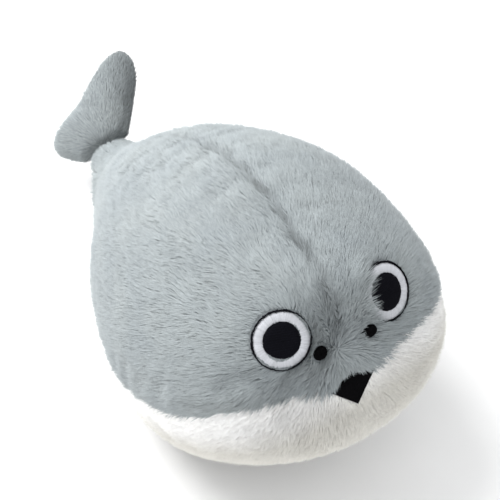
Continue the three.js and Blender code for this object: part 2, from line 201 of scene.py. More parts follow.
def put_points(mesh, points):
    mesh.vertices.foreach_set("co", points.astype(np.float32).ravel())
    mesh.update()


def normals_of(mesh):
    normals = np.empty(len(mesh.vertices) * 3)
    mesh.vertex_normals.foreach_get("vector", normals)
    return normals.reshape(-1, 3)


def node_points(*names):
    return np.concatenate([points_of(NODES[name].data) for name in names])


def mesh_from(name, points, faces):
    """A smooth mesh from an array of points and an array of faces with the same number of corners."""
    mesh = bpy.data.meshes.new(name)
    corners = faces.shape[1]
    mesh.vertices.add(len(points))
    mesh.vertices.foreach_set("co", points.astype(np.float32).ravel())
    mesh.loops.add(faces.size)
    mesh.loops.foreach_set("vertex_index", faces.astype(np.int32).ravel())
    mesh.polygons.add(len(faces))
    mesh.polygons.foreach_set("loop_start", np.arange(0, faces.size, corners, dtype=np.int32))
    mesh.update(calc_edges=True)
    mesh.validate()
    mesh.shade_smooth()
    return mesh


def in_scene(name, data):
    """A new object in the scene from a mesh, a lamp or a camera."""
    item = bpy.data.objects.new(name, data)
    bpy.context.scene.collection.objects.link(item)
    return item


def show(name, mesh, material):
    """Puts a mesh into the scene as a piece with one material."""
    piece = in_scene(name, mesh)
    mesh.materials.clear()
    mesh.materials.append(material)
    return piece


def paint(mesh, colours):
    """Keeps one colour per vertex for the material to read."""
    attribute = mesh.color_attributes.new("shade", "FLOAT_COLOR", "POINT")
    rgba = np.concatenate([colours, np.ones((len(colours), 1))], axis=1)
    attribute.data.foreach_set("color", rgba.astype(np.float32).ravel())


def applied(piece):
    """The piece's mesh with its modifiers applied, in a mesh of its own."""
    depsgraph = bpy.context.evaluated_depsgraph_get()
    mesh = bpy.data.meshes.new_from_object(piece.evaluated_get(depsgraph), depsgraph=depsgraph)
    piece.modifiers.clear()
    old, piece.data = piece.data, mesh
    bpy.data.meshes.remove(old)
    return mesh


def surface_tree(names, extra_faces=()):
    """A search tree over CAD nodes' faces and some extra polygons, with the node that each face is from."""
    vertices, faces, owner = [], [], []
    for name in names:
        mesh = NODES[name].data
        first = len(vertices)
        vertices.extend(v.co.copy() for v in mesh.vertices)
        faces.extend([first + i for i in p.vertices] for p in mesh.polygons)
        owner.extend([name] * len(mesh.polygons))
    for polygon in extra_faces:
        first = len(vertices)
        vertices.extend(Vector(p) for p in polygon)
        faces.append(list(range(first, first + len(polygon))))
        owner.append(None)
    return BVHTree.FromPolygons(vertices, faces), owner


def nearest(tree, points):
    """The nearest place on the tree to each point, how far it is, and the face it is on."""
    places, distances, faces = np.empty_like(points), np.empty(len(points)), []
    for i, point in enumerate(points):
        place, _, face, distance = tree.find_nearest(Vector(point))
        places[i] = place
        distances[i] = distance
        faces.append(face)
    return places, distances, faces


def waves(points, length, rng, count=7):
    """A smooth random vector field: the sum of a few plane waves of about that length."""
    total = np.zeros_like(points)
    for _ in range(count):
        pitch = unit(rng.normal(size=3)) * (2 * math.pi / length) * rng.uniform(*WAVE_SPREAD)
        total += np.sin(points @ pitch + rng.uniform(0, 2 * math.pi))[:, None] * rng.normal(size=3)
    return total / math.sqrt(count)


# ---- Places read from the frame ----

def joint_place(name):
    joint = JOINTS[name]
    return np.array(joint["pos_m"], float), unit(np.array(joint["axis"], float))


def seat_of(node):
    """A face piece's place: its centre on its lower side, and its directions across, up and out."""
    points = node_points(node)
    centre = points.mean(axis=0)
    _, _, axes = np.linalg.svd(points - centre)
    out = axes[2]
    inside = node_points("body_stuffing").mean(axis=0)
    if out @ (centre - inside) < 0:
        out = -out
    up = unit(tangent(np.array([0.0, 0.0, 1.0]), out))
    low = ((points - centre) @ out).min()
    return {"origin": centre + low * out, "across": np.cross(up, out), "up": up, "out": out}


def in_seat(seat, points):
    """Points in a seat's own directions: across, up, out."""
    arms = points - seat["origin"]
    return np.stack([arms @ seat["across"], arms @ seat["up"], arms @ seat["out"]], axis=1)


def from_seat(seat, local):
    return seat["origin"] + local @ np.stack([seat["across"], seat["up"], seat["out"]])


def radii_of(node):
    """A ring's inner and outer radius."""
    local = in_seat(seat_of(node), node_points(node))
    reach = np.hypot(local[:, 0], local[:, 1])
    return reach.min(), reach.max()


# ---- Materials ----

def shader(name, roughness, sheen=0.0, sheen_roughness=0.5, specular=0.2):
    """A new material, with its node tree and its main shader."""
    material = bpy.data.materials.new(name)
    material.use_nodes = True
    tree = material.node_tree
    main = tree.nodes["Principled BSDF"]
    main.inputs["Roughness"].default_value = roughness
    main.inputs["Sheen Weight"].default_value = sheen
    main.inputs["Sheen Roughness"].default_value = sheen_roughness
    main.inputs["Specular IOR Level"].default_value = specular
    return material, tree, main


def noise_node(tree, scale, detail=4.0, distortion=0.0):
    """Noise in the object's own metres, with scale in bumps per metre."""
    place = tree.nodes.new("ShaderNodeTexCoord")
    noise = tree.nodes.new("ShaderNodeTexNoise")
    noise.inputs["Scale"].default_value = scale
    noise.inputs["Detail"].default_value = detail
    noise.inputs["Distortion"].default_value = distortion
    tree.links.new(place.outputs["Object"], noise.inputs["Vector"])
    return noise.outputs["Fac"]


def ramp_node(tree, factor, stops):
    """Colours along a factor, from a list of (place, colour)."""
    ramp = tree.nodes.new("ShaderNodeValToRGB")
    elements = ramp.color_ramp.elements
    while len(elements) < len(stops):
        elements.new(0.5)
    for element, (place, colour) in zip(elements, stops):
        element.position = place
        element.color = (*colour, 1)
    tree.links.new(factor, ramp.inputs["Fac"])
    return ramp.outputs["Color"]


def colour_by(tree, main, factor, stops):
    """Colours a material along a factor."""
    tree.links.new(ramp_node(tree, factor, stops), main.inputs["Base Color"])


def times(tree, first, second):
    mix = tree.nodes.new("ShaderNodeMix")
    mix.data_type = "RGBA"
    mix.blend_type = "MULTIPLY"
    mix.inputs["Factor"].default_value = 1
    tree.links.new(first, mix.inputs["A"])
    tree.links.new(second, mix.inputs["B"])
    return mix.outputs["Result"]


def bumped(tree, main, height, distance, strength=1.0):
    bump = tree.nodes.new("ShaderNodeBump")
    bump.inputs["Distance"].default_value = distance
    bump.inputs["Strength"].default_value = strength
    tree.links.new(height, bump.inputs["Height"])
    tree.links.new(bump.outputs["Normal"], main.inputs["Normal"])


def vertex_shade(tree):
    node = tree.nodes.new("ShaderNodeVertexColor")
    node.layer_name = "shade"
    return node.outputs["Color"]


def grey_scale(low, high):
    return [(0.3, (low,) * 3), (0.7, (high,) * 3)]


def pile_material(name, tint_low, tint_high, chin_shade_tint=None):
    """Brushed pile: each fibre's own colour, patchy at two scales as where a hand has stroked it. Under
    the chin it may take a painted shade in another tint, darker low down and towards the front."""
    material, tree, main = shader(name, roughness=0.85, sheen=0.15)
    patches = ramp_node(tree, noise_node(tree, scale=28, detail=3), [(0.3, tint_low), (0.7, tint_high)])
    flecks = ramp_node(tree, noise_node(tree, scale=420, detail=2), grey_scale(0.92, 1.06))
    colour = times(tree, times(tree, vertex_shade(tree), patches), flecks)
    if chin_shade_tint:
        place = tree.nodes.new("ShaderNodeTexCoord")
        along = tree.nodes.new("ShaderNodeVectorMath")
        along.operation = "DOT_PRODUCT"
        along.inputs[1].default_value = CHIN_SHADE["away"]
        tree.links.new(place.outputs["Object"], along.inputs[0])
        share = tree.nodes.new("ShaderNodeMapRange")
        share.inputs["From Min"].default_value, share.inputs["From Max"].default_value = CHIN_SHADE["range"]
        tree.links.new(along.outputs["Value"], share.inputs["Value"])
        # painted shade under the chin: the colour falls to the shade tint low down and towards the front
        chin_shade = ramp_node(tree, share.outputs["Result"], [(0.0, chin_shade_tint), (1.0, (1.0, 1.0, 1.0))])
        colour = times(tree, colour, chin_shade)
    tree.links.new(colour, main.inputs["Base Color"])
    return material


def woven_material(name, dark, light):
    """The knitted backing that the pile grows from."""
    material, tree, main = shader(name, roughness=0.95, sheen=0.1)
    loops = noise_node(tree, scale=900, detail=2, distortion=0.6)
    colour_by(tree, main, loops, [(0.35, dark), (0.65, light)])
    bumped(tree, main, loops, 0.4 * MM)
    return material


def thread_material(name, roughness, sheen, specular, low, high):
    """Embroidery thread: each stitch's own colour, with the fine lines of its filaments."""
    material, tree, main = shader(name, roughness, sheen, specular=specular)
    filaments = noise_node(tree, scale=2600, detail=3, distortion=0.4)
    colour = times(tree, vertex_shade(tree), ramp_node(tree, filaments, grey_scale(low, high)))
    tree.links.new(colour, main.inputs["Base Color"])
    bumped(tree, main, filaments, 0.12 * MM)
    return material


def felt_material():
    material, tree, main = shader("black_felt", roughness=0.97, specular=0.02)
    mat = noise_node(tree, scale=1500, detail=5, distortion=1.2)
    colour_by(tree, main, mat, [(0.3, (0.0014,) * 3), (0.75, (0.0055, 0.005, 0.006))])
    bumped(tree, main, mat, 0.5 * MM)
    return material


def sewing_thread_material():
    """Grey sewing thread: two plies twisted round each other."""
    material, tree, main = shader("grey_thread", roughness=0.65, sheen=0.1)
    place = tree.nodes.new("ShaderNodeTexCoord")
    plies = tree.nodes.new("ShaderNodeTexWave")
    plies.bands_direction = "DIAGONAL"
    plies.inputs["Scale"].default_value = 420
    plies.inputs["Distortion"].default_value = 1.5
    tree.links.new(place.outputs["Object"], plies.inputs["Vector"])
    colour_by(tree, main, plies.outputs["Fac"], [(0.2, (0.16, 0.18, 0.185)), (0.8, (0.33, 0.36, 0.37))])
    bumped(tree, main, plies.outputs["Fac"], 0.3 * MM)
    return material


def fibre_material():
    """Loose polyester filling."""
    material, tree, main = shader("filling", roughness=1.0, sheen=0.2)
    wool = noise_node(tree, scale=260, detail=6, distortion=2.5)
    colour_by(tree, main, wool, [(0.3, (0.7, 0.69, 0.66)), (0.7, (0.88, 0.87, 0.85))])
    bumped(tree, main, wool, 2 * MM)
    return material


def floor_material():
    material, tree, main = shader("pale_floor", roughness=0.8)
    grain = noise_node(tree, scale=14, detail=5)
    colour_by(tree, main, grain, [(0.3, (0.9, 0.895, 0.89)), (0.7, (0.93, 0.925, 0.92))])
    return material


GREY = np.array([0.395, 0.43, 0.44])
WHITE = np.array([0.98, 0.975, 0.96])
WHITE_THREAD = np.array([0.56, 0.57, 0.60])
BLACK_THREAD = np.array([0.0032, 0.0032, 0.0048])

MATERIALS = {
    "grey_pile": pile_material("grey_pile", (0.93, 0.94, 0.95), (1.04, 1.04, 1.03)),
    # the white pile's last tint is its painted shade under the chin
    "white_pile": pile_material("white_pile", (0.97, 0.965, 0.955), (1.02, 1.02, 1.02), (0.75, 0.735, 0.69)),
    "grey_knit": woven_material("grey_knit", (0.13, 0.145, 0.15), (0.24, 0.26, 0.27)),
    "white_knit": woven_material("white_knit", (0.5, 0.49, 0.47), (0.7, 0.69, 0.67)),
    "white_thread": thread_material("white_thread", 0.5, 0.1, 0.3, 0.84, 1.08),
    "black_thread": thread_material("black_thread", 0.7, 0.0, 0.03, 0.4, 2.2),
    "felt": felt_material(),
    "grey_thread": sewing_thread_material(),
    "filling": fibre_material(),
}


# ---- Inflated forms ----

def closing_cap(names, centre, axis):
    """Faces that close the open end that some panels leave at a plane, a little beyond it."""
    points = node_points(*names)
    rim = points[np.abs((points - centre) @ axis) < END_BAND]
    side = unit(np.cross(axis, [0.0, 0.0, 1.0]))
    arms = rim - centre
    turn = np.arctan2(arms @ np.cross(axis, side), arms @ side)
    rim = rim[np.argsort(turn)]
    far = centre + (rim - centre) * END_TAPER + axis * END_CAP
    walls = [[rim[k - 1], rim[k], far[k], far[k - 1]] for k in range(len(rim))]
    return [*walls, far]


def edge_band(names, centre, along, up):
    """Narrow faces that close the slot between two sewn domes, from one dome's outer edge to the other's."""
    side = np.cross(along, up)
    edges = []
    for name in names:
        points = node_points(name)
        height = (points - centre) @ side
        pole = points[np.abs(height).argmax()]
        rim = points[np.abs(height) < RIM_BAND]
        arms = rim - pole
        turn = np.round(np.arctan2(arms @ up, arms @ along), TURN_DIGITS)
        reach = np.hypot(arms @ up, arms @ along)
        edges.append(np.array([rim[turn == t][reach[turn == t].argmax()] for t in np.unique(turn)]))
    near, far = edges
    return [[near[k - 1], near[k], far[k], far[k - 1]] for k in range(len(near))]


def remesh(piece, voxel):
    """Makes a piece one even closed mesh."""
    even = piece.modifiers.new("even", "REMESH")
    even.mode = "VOXEL"
    even.voxel_size = voxel
    applied(piece)


def neighbour_mean(edges, values, weights):
    """The weighted mean of each vertex's neighbours, and their total weight."""
    total, weight = np.zeros_like(values), np.zeros_like(values)
    for here, there in ((edges[:, 0], edges[:, 1]), (edges[:, 1], edges[:, 0])):
        np.add.at(total, here, values[there] * weights[there])
        np.add.at(weight, here, weights[there])
    return total / np.maximum(weight, TINY), weight


def filled(mesh, values, fill_rounds=30, even_rounds=4):
    """The values with the missing ones spread in from their neighbours, then all evened out a little."""
    edges = np.empty(len(mesh.edges) * 2, np.int32)
    mesh.edges.foreach_get("vertices", edges)
    edges = edges.reshape(-1, 2)
    missing = np.isnan(values)
    known = (~missing).astype(float)
    values = np.where(missing, 0.0, values)
    for _ in range(fill_rounds):
        mean, weight = neighbour_mean(edges, values, known)
        reached = missing & (weight > 0)
        values = np.where(reached, mean, values)
        known[reached] = 1
    for _ in range(even_rounds):
        mean, _ = neighbour_mean(edges, values, known)
        values = 0.5 * values + 0.5 * mean
    return values


def full_pile(points):
    """The same pile everywhere."""
    return np.ones(len(points))


def thin_end(points):
    """The share of the pile's depth at each point: less towards the tail's end."""
    end, axis = joint_place("tail_twist")
    share = np.clip(1 + (points - end) @ axis / THIN_END["length"], 0, 1)
    return 1 - (1 - THIN_END["share"]) * share ** 2 * (3 - 2 * share)


def reach_surface(mesh, tree, blocked, depth, even_rounds=4):
    """Moves a form's points along their normals, to lie that deep under the CAD's outer surface."""
    points, normals = points_of(mesh), normals_of(mesh)
    gaps = np.full(len(points), np.nan)
    for i in np.flatnonzero(~blocked(points)):
        start = Vector(points[i] + normals[i] * REACH)
        distance = tree.ray_cast(start, Vector(-normals[i]), 2 * REACH)[3]
        if distance is not None and REACH_LIMITS[0] < REACH - distance < REACH_LIMITS[1]:
            gaps[i] = REACH - distance
    move = filled(mesh, gaps - depth(points), even_rounds=even_rounds)
    put_points(mesh, points + normals * move[:, None])


def inflate(piece, held, most):
    """Swells a form as pressurised cloth, with its seams held, and caps how far any point goes."""
    start = points_of(piece.data)
    group = piece.vertex_groups.new(name="held")
    group.add([int(i) for i in np.flatnonzero(held)], 1.0, "REPLACE")
    cloth = piece.modifiers.new("swell", "CLOTH")
    cloth.settings.vertex_group_mass = "held"
    cloth.settings.use_pressure = True
    cloth.settings.uniform_pressure_force = PRESSURE
    cloth.settings.shrink_min = -SLACK
    cloth.settings.effector_weights.gravity = 0
    cloth.point_cache.frame_end = LAST_FRAME
    for number in range(1, LAST_FRAME + 1):
        bpy.context.scene.frame_set(number)
    swollen = points_of(piece.evaluated_get(bpy.context.evaluated_depsgraph_get()).data)
    piece.modifiers.clear()
    bpy.context.scene.frame_set(1)
    move = swollen - start
    length = np.linalg.norm(move, axis=1, keepdims=True)
    put_points(piece.data, start + move * np.minimum(1, most / np.maximum(length, TINY)))


def subdivided(piece):
    fine = piece.modifiers.new("fine", "SUBSURF")
    fine.levels = 1
    return applied(piece)


def form_under(kind, stuffing, panels, seams, end_cap, blocked, pile_share):
    """The inflated form of a stuffed piece, a pile's depth under its CAD panels, drawn in along its seams."""
    piece = in_scene(f"{kind}_form", NODES[stuffing].data.copy())
    tree, _ = surface_tree(panels, end_cap)
    swell = MOST_SWELL[kind] / 2
    for _ in range(REACH_ROUNDS):
        remesh(piece, VOXEL[kind])
        reach_surface(piece.data, tree, blocked, lambda points: pile_share(points) * PILE_DEPTH[kind] + swell)
    threads, _ = surface_tree(seams)
    _, distances, _ = nearest(threads, points_of(piece.data))
    inflate(piece, distances < SEAM_HOLD, MOST_SWELL[kind])
    mesh = subdivided(piece)
    reach_surface(mesh, tree, blocked, lambda points: pile_share(points) * PILE_DEPTH[kind], SETTLING[kind])
    points = points_of(mesh)
    _, distances, _ = nearest(threads, points)
    pull = GROOVE_DEPTH[kind] * bell(distances, GROOVE_WIDTH)
    points -= normals_of(mesh) * pull[:, None]
    points[:, 2] = np.maximum(points[:, 2], REST_DEPTH)
    put_points(mesh, points)
    bpy.data.objects.remove(piece)
    return mesh


def nowhere(points):
    return np.zeros(len(points), bool)


def in_pockets(points):
    """Which points lie under a face piece, where the panels are cut away."""
    inside = nowhere(points)
    for node in (*ROUND_PIECES, "mouth_patch"):
        local = in_seat(seat_of(node), points)
        reach = np.abs(in_seat(seat_of(node), node_points(node))[:, :2]).max() + POCKET_MARGIN
        inside |= (np.hypot(local[:, 0], local[:, 1]) < reach) & (np.abs(local[:, 2]) < REACH)
    return inside


def quads_of(mesh):
    corners = np.empty(len(mesh.loops), np.int32)
    mesh.loops.foreach_get("vertex_index", corners)
    return corners.reshape(-1, 4)


def skin_piece(name, form, faces, material):
    """Some of a form's faces as a sheet of knitted fabric with its own thickness."""
    used, corners = np.unique(faces, return_inverse=True)
    mesh = mesh_from(name, points_of(form)[used], corners.reshape(-1, 4))
    piece = show(name, mesh, material)
    sheet = piece.modifiers.new("sheet", "SOLIDIFY")
    sheet.thickness = SKIN_THICKNESS
    sheet.offset = -1
    applied(piece).shade_smooth()
    return piece


def filling_piece(name, form, inset):
    """The stuffing that fills a form up to the inside of its skin."""
    mesh = mesh_from(name, points_of(form) - normals_of(form) * inset, quads_of(form))
    return show(name, mesh, MATERIALS["filling"])


# ---- Pile ----

def spread_roots(form, faces, density, rng):
    """Random places over some of a form's quads, that many to the square metre, with their normals."""
    points, normals = points_of(form), normals_of(form)
    triangles = np.concatenate([faces[:, [0, 1, 2]], faces[:, [0, 2, 3]]])
    a, b, c = (points[triangles[:, k]] for k in range(3))
    areas = np.linalg.norm(np.cross(b - a, c - a), axis=1) / 2
    total = np.cumsum(areas)
    count = int(total[-1] * density)
    picks = (np.arange(count) + rng.random(count)) / count * total[-1]
    chosen = triangles[np.minimum(np.searchsorted(total, picks), len(triangles) - 1)]
    u, v = rng.random((2, count, 1))
    flip = u + v > 1
    u, v = np.where(flip, 1 - u, u), np.where(flip, 1 - v, v)
    shares = (1 - u - v, u, v)
    roots = sum(share * points[chosen[:, k]] for k, share in enumerate(shares))
    outward = unit(sum(share * normals[chosen[:, k]] for k, share in enumerate(shares)))
    return roots, outward


def clumps(roots, spacing, rng):
    """For each root the middle of the lock of fibres that it belongs to, and that lock's number."""
    share = min(1.0, LOCKS_PER_AREA / spacing ** 2 / max(len(roots), 1))
    middles = roots[rng.random(len(roots)) < share]
    tree = KDTree(len(middles))
    for i, middle in enumerate(middles):
        tree.insert(Vector(middle), i)
    tree.balance()
    lock = np.array([tree.find(Vector(root))[1] for root in roots])
    return middles[lock], lock


def fibre_mesh(name, roots, normals, tips, half_width, colours, tip_colours):
    """Closed tapered fibres, wider across than they are thick, with soft normals that follow the skin."""
    count = len(roots)
    along = unit(tips - roots)
    across = unit(np.cross(normals, along))
    over = np.cross(along, across)
    width = half_width[:, None]
    base = roots - along * ROOT_DEPTH
    corners = [base + across * width, base - across * width, base + over * width * FLATNESS, tips]
    points = np.stack(corners, axis=1).reshape(-1, 3)
    pattern = np.array([[0, 2, 3], [1, 3, 2], [0, 3, 1], [0, 1, 2]])
    faces = (np.arange(count)[:, None, None] * 4 + pattern).reshape(-1, 3)
    mesh = mesh_from(name, points, faces)
    paint(mesh, np.stack([colours, colours, colours, tip_colours], axis=1).reshape(-1, 3))
    sideways = np.stack([across, -across, over, TIP_LIFT * over], axis=1)
    soft = unit(normals[:, None] * SOFTNESS + sideways * (1 - SOFTNESS))
    mesh.normals_split_custom_set_from_vertices(soft.reshape(-1, 3).astype(np.float32))
    return mesh


def grow(roots, normals, flow, length, lean, lock_pull, lock_spacing, rng):
    """The tips of fibres that lie along a flow over the skin, gathered into locks."""
    swirl = STRAY["aside"] * rng.normal(size=roots.shape)
    for amount, span in SWIRLS:
        swirl += amount * waves(roots, span, rng)
    drift = unit(flow + tangent(swirl, normals))
    rise = (lean + rng.normal(scale=STRAY["rise"], size=len(roots)))[:, None]
    tips = roots + length[:, None] * (drift * np.cos(rise) + normals * np.sin(rise))
    middles, lock = clumps(roots, lock_spacing, rng)
    gather = tangent(middles - roots, normals)
    gather -= dot(gather, drift) * drift
    return tips + gather * lock_pull, lock


def coloured(base, lock, rng, lock_spread, fibre_spread, painted_root_shade):
    """Root and tip colours: one tone per lock, another per fibre, and a painted shade that darkens the root.
    """
    tone = 1 + lock_spread * rng.normal(size=lock.max() + 1)[lock] + fibre_spread * rng.normal(size=len(lock))
    tips = base * np.clip(tone, *TONE_LIMITS)[:, None]
    return tips * painted_root_shade[:, None], tips


def pile_pieces(name, roots, normals, tips, half_width, colours, material, blend_ends):
    """Cuts a pile of fibres into pieces along the tail's axis, and rides each on its first body where it
    doesn't reach the second.
    """
    start, end = blend_ends[2:]
    order = np.argsort((roots - start) @ (end - start), kind="stable")
    pieces = []
    for number, chosen in enumerate(np.array_split(order, math.ceil(len(order) / MOST_IN_PIECE))):
        values = (data[chosen] for data in (roots, normals, tips, half_width, *colours))
        mesh = fibre_mesh(f"{name}_{number}", *values)
        piece = show(mesh.name, mesh, MATERIALS[material])
        carry(piece, blend_ends)
        pieces.append(piece)
    return pieces


def carry(piece, blend_ends):
    """Rides a piece on the first body where it doesn't reach the second, or else keeps its place in its mesh
    and rides on neither.
    """
    first_body, second_body, start, end = blend_ends
    if ((points_of(piece.data) - start) @ (end - start)).max() > 0:
        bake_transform(piece)
    else:
        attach(piece, first_body)


# Thinning is the power on the tail end's share of the length. Trim is how much shorter it is at the mouth.
# Root is the painted shade at a fibre's root, as a share of its tip's colour.
PILES = {
    "grey": {"density": 1.5e6, "length": 9.5 * MM, "lean": 0.44, "width": 0.50 * MM, "pull": 0.45,
             "lock": 6.5 * MM, "tone": 0.035, "fleck": 0.035, "root": 0.74, "thinning": 0.6, "trim": 0.5,
             "material": "grey_pile", "slot": "grey_plush", "colour": GREY},
    "white": {"density": 1.5e6, "length": 7.5 * MM, "lean": 0.55, "width": 0.50 * MM, "pull": 0.3,
              "lock": 5.0 * MM, "tone": 0.01, "fleck": 0.01, "root": 0.97, "thinning": 1.4, "trim": 0.35,
              "material": "white_pile", "slot": "white_plush", "colour": WHITE},
    "fin": {"density": 1.7e6, "length": 7.0 * MM, "lean": 0.42, "width": 0.45 * MM, "pull": 0.45,
            "lock": 5.5 * MM, "tone": 0.06, "fleck": 0.05, "root": 0.58,
            "material": "grey_pile", "slot": "grey_plush", "colour": GREY},
}


def outline_of(node):
    """A face piece's seat and its convex outline there: the outward normal and the offset of each edge."""
    seat = seat_of(node)
    corners = in_seat(seat, node_points(node))[:, :2]
    corners = corners[convex_hull_2d([Vector(corner) for corner in corners])]
    edges = np.roll(corners, -1, axis=0) - corners
    edges, corners = edges[np.hypot(*edges.T) > SAME_POINT], corners[np.hypot(*edges.T) > SAME_POINT]
    outward = unit(np.stack([edges[:, 1], -edges[:, 0]], axis=1))
    outward *= np.sign(dot(outward, corners - corners.mean(axis=0)))
    return seat, outward, np.sum(outward * corners, axis=1)


def room_round(outline, points):
    """How far outside a face piece's outline each point is, negative inside, and the way out."""
    seat, edge_normals, edge_offsets = outline
    local = in_seat(seat, points)
    distance = (local[:, :2] @ edge_normals.T - edge_offsets).max(axis=1)
    distance[np.abs(local[:, 2]) > REACH] = FAR
    return distance, unit(from_seat(seat, local * (1, 1, 0)) - seat["origin"])


def inner_side(outline, outward):
    """How much each direction out of an eye points towards the other eye, from 0 to 1."""
    return np.clip(-INNER["gain"] * np.sign(outline[0]["origin"][0]) * outward[:, 0] - INNER["start"], 0, 1)


def raised_brow(form):
    """Swells a form beside the left eye's inner edge, where the stuffing pushes the brow up over it."""
    points, normals = points_of(form), normals_of(form)
    outline = outline_of("eye_rim_left")
    distance, outward = room_round(outline, points)
    rise = BROW["height"] * inner_side(outline, outward) * bell(np.maximum(distance, 0), BROW["reach"])
    rise *= distance > 0
    put_points(form, points + normals * filled(form, rise, even_rounds=3)[:, None])


def fuller_waist(form):
    """Swells a form a little where the stuffing fills the body's waist, before the tail's end."""
    end, axis = joint_place("tail_twist")
    points, normals = points_of(form), normals_of(form)
    place = (end - points) @ axis
    sideways = WAIST["top"] + (1 - WAIST["top"]) * np.abs(normals[:, 0])
    rise = WAIST["height"] * sideways * bell(place - WAIST["place"], WAIST["reach"])
    points += normals * rise[:, None]
    points[:, 2] = np.maximum(points[:, 2], REST_DEPTH)
    put_points(form, points)


def body_flow(roots, normals, grey, from_mouth, rng):
    """The way the pile lies: away from the snout, parted along the back and combed over the belly's seam and
    the mouth. Also how far each root is from the parting and from the snout."""
    nostrils = sum(seat_of(f"nostril_{side}")["origin"] for side in SIDES) / 2
    snout = nostrils + SNOUT * (seat_of("mouth_patch")["origin"] - nostrils)
    warped = roots + RUFFLED["warp"] * waves(roots, RUFFLED["span"], rng)
    flow = unit(tangent(warped - snout, normals))
    dorsal, _ = surface_tree(["dorsal_seam"])
    wandering = roots + PARTING["wander"] * waves(roots, PARTING["span"], rng)
    places, from_parting, _ = nearest(dorsal, wandering)
    lie = PARTING["lie"] * fading(from_parting, PARTING["reach"])
    flow += lie[:, None] * unit(tangent(wandering - places, normals))
    if grey:
        border, _ = surface_tree([name for name in BODY_SEAMS if name != "dorsal_seam"])
        places, distances, _ = nearest(border, roots)
        over_seam = COMBED["seam"] * fading(distances, COMBED["seam_reach"])
        flow += over_seam[:, None] * unit(tangent(places - roots, normals))
        down = unit(tangent(-np.tile(seat_of("mouth_patch")["up"], (len(roots), 1)), normals))
        over_mouth = COMBED["mouth"] * fading(from_mouth, COMBED["mouth_reach"])
        flow += over_mouth[:, None] * down
    return unit(flow), from_parting, np.linalg.norm(roots - snout, axis=1)


def round_face_pieces(roots, normals, flow, length, lean):
    """Bends the pile round the eyes and nostrils, where it is trimmed short. Between the eyes it stands up,
    long, and is brushed towards the left eye, so that it hides that eye's inner edge."""
    to_left = unit(tangent(np.array([[1.0, 0.0, 0.0]]), normals))
    for node in ROUND_PIECES:
        outline = outline_of(node)
        distance, outward = room_round(outline, roots)
        kind = node.split("_")[0]
        near = fading(distance, BESIDE["reach"])
        between = near * (inner_side(outline, outward) * (kind == "eye"))
        inward = np.minimum(dot(flow, outward), 0)
        away = BESIDE["turn"] * (near - between)[:, None] * inward * outward
        flow = unit(flow - away + BESIDE["brush"] * between[:, None] * to_left)
        length = length * (1 - TRIM[kind] * (near - between) + BESIDE["long"] * between)
        lean = lean + BESIDE["rise"] * near + BESIDE["rise_between"] * between
    return flow, length, lean


def plant(name, kind, roots, normals, flow, length, lean, painted_shade, painted_root_shade, blend_ends, rng):
    """Grows one kind of pile from its roots and shows it, in as many pieces as it needs."""
    look = PILES[kind]
    tips, lock = grow(roots, normals, flow, length, lean, look["pull"], look["lock"], rng)
    tips[:, 2] = np.maximum(tips[:, 2], FLOOR_FILM)
    colours = coloured(look["colour"] * painted_shade[:, None], lock, rng, look["tone"], look["fleck"], painted_root_shade)
    width = look["width"] * rng.uniform(*WIDTH_SPREAD, len(roots))
    for piece in pile_pieces(name, roots, normals, tips, width, colours, look["material"], blend_ends):
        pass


def body_pile(name, form, faces, kind, blend_ends, rng):
    look = PILES[kind]
    roots, normals = spread_roots(form, faces, look["density"], rng)
    keep = np.ones(len(roots), bool)
    for node in (*ROUND_PIECES, "mouth_patch"):
        keep &= room_round(outline_of(node), roots)[0] > CLEARANCE
    roots, normals = roots[keep], normals[keep]
    grey = kind == "grey"
    from_mouth = room_round(outline_of("mouth_patch"), roots)[0]
    flow, from_parting, from_snout = body_flow(roots, normals, grey, from_mouth, rng)
    parting = bell(from_parting, PARTING["width"]) * grey
    parting *= np.clip((PARTING["end"] - from_snout) / PARTING["fade"], 0, 1)
    ruffled = bell(from_snout, RUFFLED["reach"]) * grey
    length = look["length"] * rng.uniform(*LENGTH_SPREAD, len(roots)) * thin_end(roots) ** look["thinning"]
    length *= (1 - PARTING["short"] * parting) * (1 + RUFFLED["long"] * ruffled)
    lean = np.full(len(roots), look["lean"])
    flow, length, lean = round_face_pieces(roots, normals, flow, length, lean)
    length *= 1 - look["trim"] * fading(from_mouth, MOUTH_TRIM_REACH)
    low = np.clip(1 - (roots[:, 2] - REST_DEPTH) / PRESSED["height"], 0, 1)
    resting = low * np.clip(-normals[:, 2], 0, 1)
    lean = lean * (1 - resting) + PRESSED["lean"] * resting
    # painted shade in the parting along the back's seam, fading towards the tail
    painted_shade = 1 - PARTING["dark"] * parting
    # painted shade at each fibre's root, deeper round the snout
    painted_root_shade = look["root"] - RUFFLED["dark"] * ruffled
    plant(name, kind, roots, normals, flow, length, lean, painted_shade, painted_root_shade, blend_ends, rng)


def fin_pile(name, form, faces, blend_ends, rng):
    look = PILES["fin"]
    roots, normals = spread_roots(form, faces, look["density"], rng)
    hinge, swing_axis = joint_place("tail_swing")
    _, tail_axis = joint_place("tail_twist")
    flow = unit(tangent(roots - hinge, normals))
    length = look["length"] * rng.uniform(*LENGTH_SPREAD, len(roots))
    edge, _ = surface_tree(["fin_edge_seam"])
    _, from_edge, _ = nearest(edge, roots)
    length *= 1 - FIN_EDGE["short"] * fading(from_edge, FIN_EDGE["reach"])
    lean = np.full(len(roots), look["lean"])
    arms = roots - hinge
    lobe = (arms @ swing_axis - FIN_LOBE_SHADE["slope"] * (arms @ tail_axis)) / FIN_LOBE_SHADE["length"]
    share = np.clip(lobe, 0, 1)
    lobe_shade = share ** 2 * (3 - 2 * share)
    # painted shade over the fin's upper lobe
    painted_shade = 1 - FIN_LOBE_SHADE["dark"] * lobe_shade
    painted_root_shade = look["root"] - FIN_LOBE_SHADE["roots"] * lobe_shade
    plant(name, "fin", roots, normals, flow, length, lean, painted_shade, painted_root_shade, blend_ends, rng)


